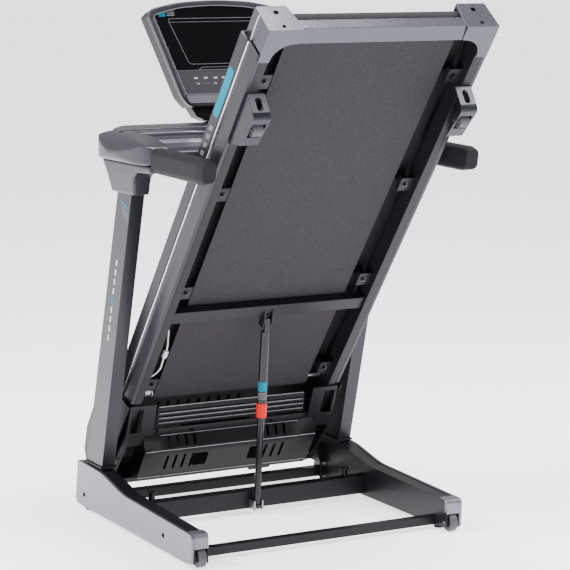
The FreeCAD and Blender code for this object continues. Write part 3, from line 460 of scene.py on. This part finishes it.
POST_LEAN = 0.2847                  # run over rise
POST_FOOT = (107, 135)              # y and z that the row of bars is measured from


def stadium(x, y):
    """Oblong with round ends."""
    radius = (y[1] - y[0]) / 2
    middle = (y[1] + y[0]) / 2
    right = arc((x[1] - radius, middle), radius, -90, 90, 14)
    return right + arc((x[0] + radius, middle), radius, 90, 270, 14)


def post_mark(name, outline, sign, mat, proud=0.6):
    """Printed mark on the outer face of an upright."""
    mark = side_prism(name, outline, (POST_FACE, POST_FACE + proud), sign, FLOOR)
    plated(mark, "root", mat, 0.1)


def build_uprights():
    """Uprights and their marks, handrail, pods, tray and grips."""
    refined("uprights", POST_GREY, 6.0, 5, 40)
    refined("handrail_frame", BLACK_PAINT, 0.0)
    for name, sign in SIDES:
        post_mark(f"post_stroke_{name}", [(-92, 885), (-134, 868), (-134, 862), (-92, 879)], sign, CYAN, 0.7)
        for index in range(4):
            y, z = -96 - 10 * index, 870 - 4 * index
            bar = [(y, z), (y - 5, z - 2), (y - 9, z - 24 - 2 * index), (y - 4, z - 22 - 2 * index)]
            post_mark(f"post_label_{name}_{index}", bar, sign, DIM)
        for index in range(9):
            z = 500 + 26 * index
            y = POST_FOOT[0] - POST_LEAN * (z - POST_FOOT[1])
            bar = [(y - 4, z), (y + 4, z - 1), (y + 1, z + 15), (y - 7, z + 16)]
            post_mark(f"post_bar_{name}_{index}", bar, sign, CYAN if index == 4 else PALE)
    build_shroud()
    build_grips()


def build_shroud():
    """Tray and pods as one moulding, and the two lower pod shells."""
    parts, cuts = [], []
    for name, sign in SIDES:
        plan = prism("plan", eased(across(POD_PLAN, sign), 30), 980, 1075, "z", FLOOR)
        front = prism("front", eased(across(POD_FRONT, sign), 14), -310, 70, "y", FLOOR)
        arm = side_prism("arm", eased(POD_TOP, 22), (340, 420), sign, FLOOR)
        parts.append(joined(arm, within=(plan, front)))
        for bottom, less in BOWL_STEPS:
            bowl = stadium(*((low + less, high - less) for low, high in BOWL))
            cuts.append(prism("recess", across(bowl, sign), bottom, CLEAR_TOP, "z", FLOOR))
        cuts.append(prism("slot", across(stadium(*SLOT), sign), SLOT_FLOOR, CLEAR_TOP, "z", FLOOR))
    tray_plan = prism("tray_plan", eased(TRAY_PLAN, 40), 980, CLEAR_TOP, "z", FLOOR)
    tray = joined(prism("upper_shroud_skin", eased(TRAY, 8), -350, 350, "x", FLOOR), within=[tray_plan])
    shroud = joined(tray, parts, cuts)
    moulded(shroud, voxel=2.6, rounds=16)
    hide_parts("upper_shroud")
    finish_piece(shroud, "root", SHROUD_GREY, 180)
    for name, sign in SIDES:
        low = side_prism(f"pod_lower_{name}", POD_LOW, POD_LOW_X, sign, FLOOR)
        taper(low, POD_LOW_FOOT, POD_LOW_WAIST, amount=6.0, middle=sign * sum(POD_LOW_X) / 2)
        moulded(low, voxel=2.4, rounds=12)
        finish_piece(low, "root", SHROUD_GREY, 180)
    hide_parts("pod_lowers")


def taper(obj, low, high, amount, middle):
    """Narrow a piece across X towards its lower end."""
    for vertex in obj.data.vertices:
        part = min(1.0, max(0.0, (high - vertex.co.z / MM) / (high - low)))
        side = 1 if vertex.co.x / MM > middle else -1
        vertex.co.x -= side * part * amount * MM


GRIP_EDGE = [(353, 972), (399, 972), (399, 1036), (353, 1036)]
GRIP_MIDDLE = (376, 1003.5)
GRIP_END = -540                     # behind this y the cross section slants
GRIP_SLANT = 0.16
GRIP_STEPS = ((-298, 0.99, 0), (-300, 1.0, 0), (-420, 1.0, -3), (-548, 1.0, -7), (-551, 0.975, -7),
              (-553, 0.975, -7), (-556, 1.0, -7), (-578, 0.86, -8), (-584, 0.78, -8))     # y, size, lift


def grip_loop(bm, sign, y, size, lift):
    """One cross section of a grip."""
    loop = []
    for x, z in eased(GRIP_EDGE, 17, 7):
        wide = GRIP_MIDDLE[0] + (x - GRIP_MIDDLE[0]) * size
        high = GRIP_MIDDLE[1] + lift * 0.8 + (z - GRIP_MIDDLE[1]) * size
        back = (1003 - high) * GRIP_SLANT if y < GRIP_END else 0
        loop.append(bm.verts.new(Vector((wide * sign, y + back, high)) * MM))
    return loop


def build_grips():
    """Rubber grips: a rounded section that narrows at a groove and at the end."""
    for name, sign in SIDES:
        bm = bmesh.new()
        loops = [grip_loop(bm, sign, *station) for station in GRIP_STEPS]
        for one, two in zip(loops, loops[1:]):
            for index in range(len(one)):
                after = (index + 1) % len(one)
                bm.faces.new((one[index], one[after], two[after], two[index]))
        bm.faces.new(loops[0])
        bm.faces.new(loops[-1])
        grip = new_object(f"grip_{name}", bm, FLOOR)
        finish_piece(grip, "root", GRIP_RUBBER, 28)
    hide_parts("grips")


# ---------------------------------------------------------------- console
HALF = [(98, 3), (122, 34), (200, 258), (184, 276), (110, 291)]
HALF_RADII = [26, 20, 22, 18, 60]
SIDE_SLOPE = 0.3482                 # x over z, up the console's sides
BORDER = 14                         # width of the bezel at the sides
WINDOW = [(122 + 2 * SIDE_SLOPE - BORDER, 36), (199.3 - BORDER, 255.2), (184 - BORDER, 262), (105.8, 277)]
WINDOW_RADII = [6, 16, 14, 40, 40, 40, 14, 16, 6]
DISPLAY = [(-88, 120), (88, 120), (143, 247), (-143, 247)]
PANEL_TAB = [(-62, 104), (-52, 112), (52, 112), (62, 104)]
PRINT = (-9.5, -8.9)                # y limits of the marks on the console's face
KEY_ROW = (80, 84.5)
KEY_PLACES = (-72, -42, -12)


def mirrored(half, middle):
    """Whole outline from its right half and the point on the middle line."""
    return half + [middle] + [(-a, b) for a, b in reversed(half)]


def window_line(amount):
    """Opening of the bezel, moved inwards by an amount."""
    low, side, high, shoulder = WINDOW
    half = [(low[0] - amount, low[1] + amount), (side[0] - amount, side[1] - 0.2 * amount),
            (high[0] - amount, high[1] - amount), (shoulder[0], shoulder[1] - amount)]
    return eased(mirrored(half, (0, 283 - amount)), WINDOW_RADII, 6)


def console_prism(name, outline, y, mat, width=0.1):
    """Piece on the console's face, from its outline."""
    plated(prism(name, outline, y[0], y[1], "y", CONSOLE), "root", mat, width)


def console_block(name, x, y, z, mat, width=0.1):
    """Oblong piece on the console's face."""
    plated(block(name, x, y, z, CONSOLE), "root", mat, width)


def build_console():
    """Bezel, glass, key panel, shell, neck, safety key and the printed marks."""
    outer = eased(mirrored(HALF, (0, 297)), HALF_RADII + [60] + HALF_RADII[::-1], 6)
    hole = window_line(0)
    body = prism("console_frame", outer, -14, 6, "y", CONSOLE)
    cutter = prism("cutter", hole, -20, 12, "y", CONSOLE)
    bezel = bevelled(joined(body, (), [cutter]), 4.5, 5, 40)
    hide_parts("console_bezel")
    finish_piece(bezel, "root", BEZEL, 40)
    trim = ring("console_trim", hole, window_line(2.6), -13.4, -9.2, "y", CONSOLE)
    plated(trim, "root", SILL, 0.5)
    refined("display_glass", GLASS, 0.4)
    refined("key_panel", PANEL, 0.4)
    refined("console_back_shell", BLACK_PLASTIC, 5.0, 4, 40)
    refined("console_neck", BLACK_PLASTIC, 4.0, 3)
    finished("control_board", BOARD_GREEN)
    refined("safety_key", RED, 1.2, 3)
    console_prism("console_sill", eased([(-100, 13), (100, 13), (108, 34.5), (-108, 34.5)], 8),
                  (-15.2, -13.6), SILL, 0.5)
    border = ring("display_border", eased(DISPLAY, 12), eased(inset(DISPLAY, 1.3), 11), -9.5, -8.8, "y",
                  CONSOLE)
    plated(border, "root", DIM, 0.1)
    console_block("display_line", (-136, 136), (-9.35, -8.8), (236, 237), DIM)
    ledge = ring("panel_ledge", PANEL_TAB, inset(PANEL_TAB, 1.2), -10.2, -8.8, "y", CONSOLE)
    plated(ledge, "root", DIM, 0.2)
    console_block("panel_edge", (-131, 131), (-9.9, -8.9), (103, 104.4), DIM)
    console_prism("console_sticker", eased([(-168, 252), (-148, 252), (-146, 270), (-170, 270)], 2),
                  (-9.4, -8.9), CYAN)
    for index in range(3):
        z = 254 + 6 * index
        console_block(f"console_bar_{index}", (-143, -120), (-9.3, -8.9), (z, z + 3.5), DIM)
    for side, sign in SIDES:
        for index, x in enumerate(KEY_PLACES):
            console_block(f"key_mark_{side}_{index}", (x * sign - 5.5, x * sign + 5.5), PRINT, KEY_ROW,
                          PALE, 0.15)
        for index, (x, up) in enumerate(((-66, -2.5), (-14, 2.5))):
            arrow = [(x - 5, 66 - up), (x, 66 + up), (x + 5, 66 - up), (x + 5, 68 - up), (x, 68 + up),
                     (x - 5, 68 - up)]
            console_prism(f"arrow_mark_{side}_{index}", across(arrow, sign), PRINT, PALE)
        console_block(f"speed_mark_{side}", (-40 * sign - 11, -40 * sign + 11), PRINT, (66, 68),
                      DIM)


# ---------------------------------------------------------------- strut
LABEL_START = 277.5                 # down the strut from the housing's top to the labels' zero
LABEL_BORE = 12.2                   # inner radius of the bands


def strut_band(name, radius, low, high, mat, width):
    """Printed band round the outer tube of the strut, measured from the labels' zero."""
    top = (Vector(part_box("strut_housing")[1]) - STRUT_FOOT).dot(STRUT_AXIS) / MM
    outer, inner = (arc((0, 0), size, 0, 352.5, 47) for size in (radius, LABEL_BORE))
    bottom = top - LABEL_START + low
    band = ring(name, outer, inner, bottom, bottom + high - low, "z", STRUT)
    plated(band, "strut_upper", mat, width)


def build_strut():
    """Fold strut with its sleeve, upper fitting and labels."""
    refined("strut_rod", DARK_STEEL, 0.8)
    refined("strut_housing", DARK_STEEL, 0.8)
    refined("strut_lock_sleeve", RED, 1.2, 3)
    refined("strut_head_bracket", BLACK_PAINT, 0.8)
    strut_band("strut_cyan_label", 12.75, 78, 104, CYAN, 0.1)
    strut_band("strut_grey_label", 12.7, 56, 74, DIM, 0.1)
    for step in range(5):
        low = 58 + 3 * step
        strut_band(f"strut_label_line_{step}", 12.8, low, low + 1.2, BLACK_PLASTIC, 0.05)


# ---------------------------------------------------------------- deck
STATIONS = (1399, 1030, 681, 330)   # cushion brackets, from the fold axis
BOLT_X, BOLT_W = 266, 28
FOLD_X, FOLD_W = (250, 252.5), (30.5, 44)   # turned-up edge of a cushion bracket
CAP_HOLES = ((70.6, 7), (19, 5))    # height and radius
CAP_FACE = (-1577.4, -1576.5)
RIB_EDGES = ((208, -7), (220, -0.5), (232, 6), (246.5, 17.5))       # u and w
PAN_EDGES = ((147, -55.5), (44, -59.6), (28.5, -38.6))
STRIP_EDGE = [(-1574, 60), (-1504, 60), (-1504, 64), (-1574, 64)]


def deck_block(name, x, u, w, mat, width):
    """Box on the deck; u is the distance from the fold axis and w the height."""
    plated(block(name, x, (-u[1], -u[0]), w, DECK), "deck", mat, width)


def build_deck():
    """Frame, rails, belt, rollers, hood, pan, legs, motor and what is fastened to them."""
    refined("side_frames", BLACK_PAINT, 1.6)
    refined("deck_cross_members", BLACK_PAINT, 2.0)
    refined("rail_covers", RAIL_GREY, 1.5, 3)
    refined("chrome_strips", CHROME, 2.4, 4)
    build_foot_rails()
    refined("end_caps", CAP_SILVER, 1.4, 3, merge=False)
    refined("end_plate", CAP_SILVER, 1.2, 3)
    refined("running_board", BOARD, 0.8)
    refined("deck_cushions", RUBBER, 1.5, 3)
    refined("cushion_brackets", BLACK_PAINT, 0.8)
    refined("roller_seats", BLACK_PAINT, 0.8)
    refined("drive_motor", BLACK_PAINT, 2.0)
    refined("motor_bracket", BLACK_PAINT, 0.8)
    refined("hood_cover", HOOD_GREY, 3.0, 4, 20)
    refined("belly_pan", BLACK_PLASTIC, 0.0, merge=False)
    refined("ribbed_panel", BLACK_PLASTIC, 0.9)
    refined("hinge_brackets", BLACK_PAINT, 1.0, merge=False)
    refined("rear_legs", LEG_GREY, 1.0, 3, merge=False)
    refined("motor_controller", BLACK_PLASTIC, 1.5)
    refined("power_inlet", BLACK_PLASTIC, 0.5)
    refined("switch_frame", BLACK_PLASTIC, 0.6)
    refined("power_rocker", RED, 0.6)
    refined("front_roller", STEEL, 0.8)
    refined("rear_roller", STEEL, 1.2)
    refined("motor_pulley", STEEL, 0.6)
    for name, sign in SIDES:
        refined(f"leg_wheel_{name}", TREAD, 1.5, 3)
        leg_lit_face(name, sign)
    finished("roller_axles", STEEL)
    finished("running_belt", BELT)
    finished("drive_belt", RUBBER)
    finished("sensor_lead", WHITE_LEAD)
    for name, sign in SIDES:
        for station in STATIONS:
            middle = Matrix.Translation(Vector((BOLT_X * sign, -station, BOLT_W)) * MM)
            cushion_bolt(f"cushion_bolt_{name}_{station}", DECK @ middle @ Matrix.Rotation(math.pi, 4, "X"))
            deck_block(f"bracket_fold_{name}_{station}", sorted(x * sign for x in FOLD_X),
                       (station - 21, station + 21), FOLD_W, BLACK_PAINT, 0.8)
        strip = side_prism(f"cap_strip_{name}", STRIP_EDGE, (320, 323.5), sign, DECK)
        plated(strip, "deck", CHROME, 0.8, 3)
        # painted shade: a black disc stands in for the shaded inside of each hole in the end cap
        for height, radius in CAP_HOLES:
            hole = disc(f"cap_hole_{name}_{height:.0f}", (275 * sign, height), radius, *CAP_FACE, "y", DECK)
            plated(hole, "deck", HOLE_SHADE_AND_SEAM, 0.1)
    # painted shade: a black block stands in for the shaded inside of the end plate's notch
    notch = block("end_plate_notch", (22, 30), (-1536, -1533.2), (8, 24), DECK)
    plated(notch, "deck", HOLE_SHADE_AND_SEAM, 0.3)
    build_belly()
    hood_vents()


SKIRT_TOP, SKIRT_FOOT = (336, 92), (330.5, 64)
STEP_EDGE = [(245, 91), (245, 95), (333, 95), SKIRT_TOP, SKIRT_FOOT, (328, 64), (328, 91)]
LABEL_EDGE = [(-1402, 67), (-1250, 67), (-1250, 89), (-1402, 89)]


def skirt_mark(name, outline, sign, proud, mat):
    """Flat mark on the slanting outer face of a foot rail."""
    mark = side_prism(name, outline, (SKIRT_TOP[0] - 0.4, SKIRT_TOP[0] + proud), sign, DECK)
    slope = (SKIRT_TOP[0] - SKIRT_FOOT[0]) / (SKIRT_TOP[1] - SKIRT_FOOT[1])
    inverse = DECK.inverted()
    for vertex in mark.data.vertices:
        local = inverse @ vertex.co
        local.x -= sign * (SKIRT_TOP[1] * MM - local.z) * slope
        vertex.co = DECK @ local
    plated(mark, "deck", mat, 0.1)


def build_foot_rails():
    """Foot rails with the printed marks on their skirts."""
    for name, sign in SIDES:
        rail = prism(f"foot_rail_{name}", across(STEP_EDGE, sign), -1504, -262, "y", DECK)
        plated(rail, "deck", STEP_GREY, 1.2, 3)
        skirt_mark(f"rail_label_{name}", eased(LABEL_EDGE, 11, 8), sign, 0.5, CYAN)
        for index in range(6):
            y = 27 * index - 1222
            bar = [(y, 71), (y + 15, 71), (y + 19, 84), (y + 4, 84)]
            skirt_mark(f"rail_mark_{name}_{index}", bar, sign, 0.4, DIM)
    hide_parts("foot_rails")


def glint_line(name, half, u, w, thick=1.5):
    """Painted highlight: bright line across the deck, along a folded edge."""
    reach = thick / 2
    deck_block(name, (-half, half), (u - reach, u + reach), (w - reach, w + reach), GLINT, 0.4)


def leg_lit_face(name, sign):
    """Painted highlight: a lighter copy of the leg's grey laid on the outer face of a tail leg's strap, round its
    oblong hole.
    """
    run, rise = 20, 52.8            # the strap's slant in the deck's frame
    along = Vector((0, run, -rise)).normalized()
    inward = Vector((0, rise, run)).normalized()
    turn = Matrix((Vector((1, 0, 0)), along, inward)).transposed().to_4x4()
    place = DECK @ Matrix.Translation(Vector((292 * sign, -1383, 8.8)) * MM) @ turn
    outline = eased([(-23, 3), (23, 3), (23, 53), (-23, 53)], 4)
    plate = prism(f"leg_lit_face_{name}", outline, -0.5, 0.1, "z", place)
    oval = arc((0, 20), 8.2, 180, 360, 12) + arc((0, 42), 8.2, 0, 180, 12)
    joined(plate, cuts=[prism("oval", oval, -2, 2, "z", place)])
    plated(plate, "deck", LEG_LIT_FACE, 0.1)


def hood_vents():
    """Vents across the hood, as black blocks of painted shade, and the seam along each of its sides."""
    for index in range(9):
        x = -128 + 32 * index
        outline = [(-40, 165.9), (-94, 167.5), (-94, 164), (-40, 162)]
        vent = prism(f"hood_vent_{index}", outline, x - 5, x + 5, "x", DECK)
        plated(vent, "deck", HOLE_SHADE_AND_SEAM, 0.2)
    for name, sign in SIDES:
        seam = [(70, 60), (-250, 60), (-250, 61.6), (70, 61.6)]
        line = side_prism(f"hood_seam_{name}", seam, (329.4, 330.4), sign, DECK)
        plated(line, "deck", HOLE_SHADE_AND_SEAM, 0.2)


def build_belly():
    """Flange, painted highlights along the edges, and black discs and blocks of painted shade for the holes and
    windows of the ribbed panel and the belly pan.
    """
    # painted highlights along the ribs, the flange and the pan's folded edges
    for index, (u, w) in enumerate(RIB_EDGES):
        glint_line(f"rib_glint_{index}", 224, u, w, thick=2.0)
    outline = eased([(-228, -200), (228, -200), (228, -171), (-228, -171)], [1, 1, 14, 14])
    flange = prism("panel_flange", outline, -20.5, -17, "z", DECK)
    plated(flange, "deck", BLACK_PLASTIC, 1.2, 3)
    glint_line("flange_glint", 214, 171.5, -20.6, thick=1.8)
    for index, (u, w) in enumerate(PAN_EDGES):
        glint_line(f"pan_glint_{index}", 264, u, w)
    for name, sign in SIDES:
        # painted shade: black discs and blocks stand in for the shaded insides of holes and windows
        hole = disc(f"flange_hole_{name}", (123 * sign, -184), 5, -21.2, -20, "z", DECK)
        plated(hole, "deck", HOLE_SHADE_AND_SEAM, 0.1)
        outline = eased(across([(66, -118), (106, -118), (106, -74), (66, -74)], sign), 3)
        window = prism(f"pan_window_{name}", outline, -59.5, -55, "z", DECK)
        plated(window, "deck", HOLE_SHADE_AND_SEAM, 0.2)
        hole = disc(f"bracket_hole_{name}", (322 * sign, -252), 4, 1.5, 3, "z", DECK)
        plated(hole, "deck", HOLE_SHADE_AND_SEAM, 0.1)


for build in (build_base, build_uprights, build_console, build_strut, build_deck):
    build()


# ---------------------------------------------------------------- stage, lights and camera
def lamp(name, place, target, power, size):
    """Round soft light aimed at a point; metres and watts."""
    data = bpy.data.lights.new(name, "AREA")
    data.energy = power
    data.shape = "DISK"
    data.size = size
    obj = bpy.data.objects.new(name, data)
    obj.location = place
    obj.rotation_euler = (Vector(target) - Vector(place)).to_track_quat("-Z", "Y").to_euler()
    bpy.context.scene.collection.objects.link(obj)


def build_stage():
    """Pale floor, even world light and three lamps."""
    bm = bmesh.new()
    bmesh.ops.create_grid(bm, x_segments=1, y_segments=1, size=150)
    floor = new_object("studio_floor", bm)
    mat = bpy.data.materials.new("studio_white")
    mat.use_nodes = True
    shader = mat.node_tree.nodes["Principled BSDF"]
    shader.inputs["Base Color"].default_value = (0.94, 0.94, 0.95, 1)
    shader.inputs["Roughness"].default_value = 0.55
    shader.inputs["Emission Color"].default_value = (1, 1, 1, 1)
    shader.inputs["Emission Strength"].default_value = 1.7
    floor.data.materials.append(mat)
    world = bpy.data.worlds.new("studio")
    world.use_nodes = True
    world.node_tree.nodes["Background"].inputs["Color"].default_value = (1, 1, 1, 1)
    world.node_tree.nodes["Background"].inputs["Strength"].default_value = 0.65
    bpy.context.scene.world = world
    lamp("key", (-4.2, 0.6, 4.0), (0, 0, 0.6), 420, 1.6)
    lamp("top", (0.6, -0.4, 5.0), (0, 0, 0.5), 330, 2.0)
    lamp("rim", (3.6, -1.6, 3.4), (0, 0, 0.8), 150, 1.4)


CAMERA_PLACE = (-2.7775, -5.4003 + SHIFT, 1.5353)          # metres
CAMERA_AZIMUTH, CAMERA_ELEVATION = -28.43, 8.6
FOCAL_LENGTH = 141.76


def build_camera():
    """Camera behind the user's left, slightly above the handrails."""
    data = bpy.data.cameras.new("camera")
    data.sensor_width = 36.0
    data.lens = FOCAL_LENGTH
    data.shift_y = 0.0028
    data.clip_end = 200
    obj = bpy.data.objects.new("camera", data)
    obj.location = CAMERA_PLACE
    obj.rotation_euler = (math.radians(90 - CAMERA_ELEVATION), 0, math.radians(CAMERA_AZIMUTH))
    bpy.context.scene.collection.objects.link(obj)
    bpy.context.scene.camera = obj


build_stage()
build_camera()
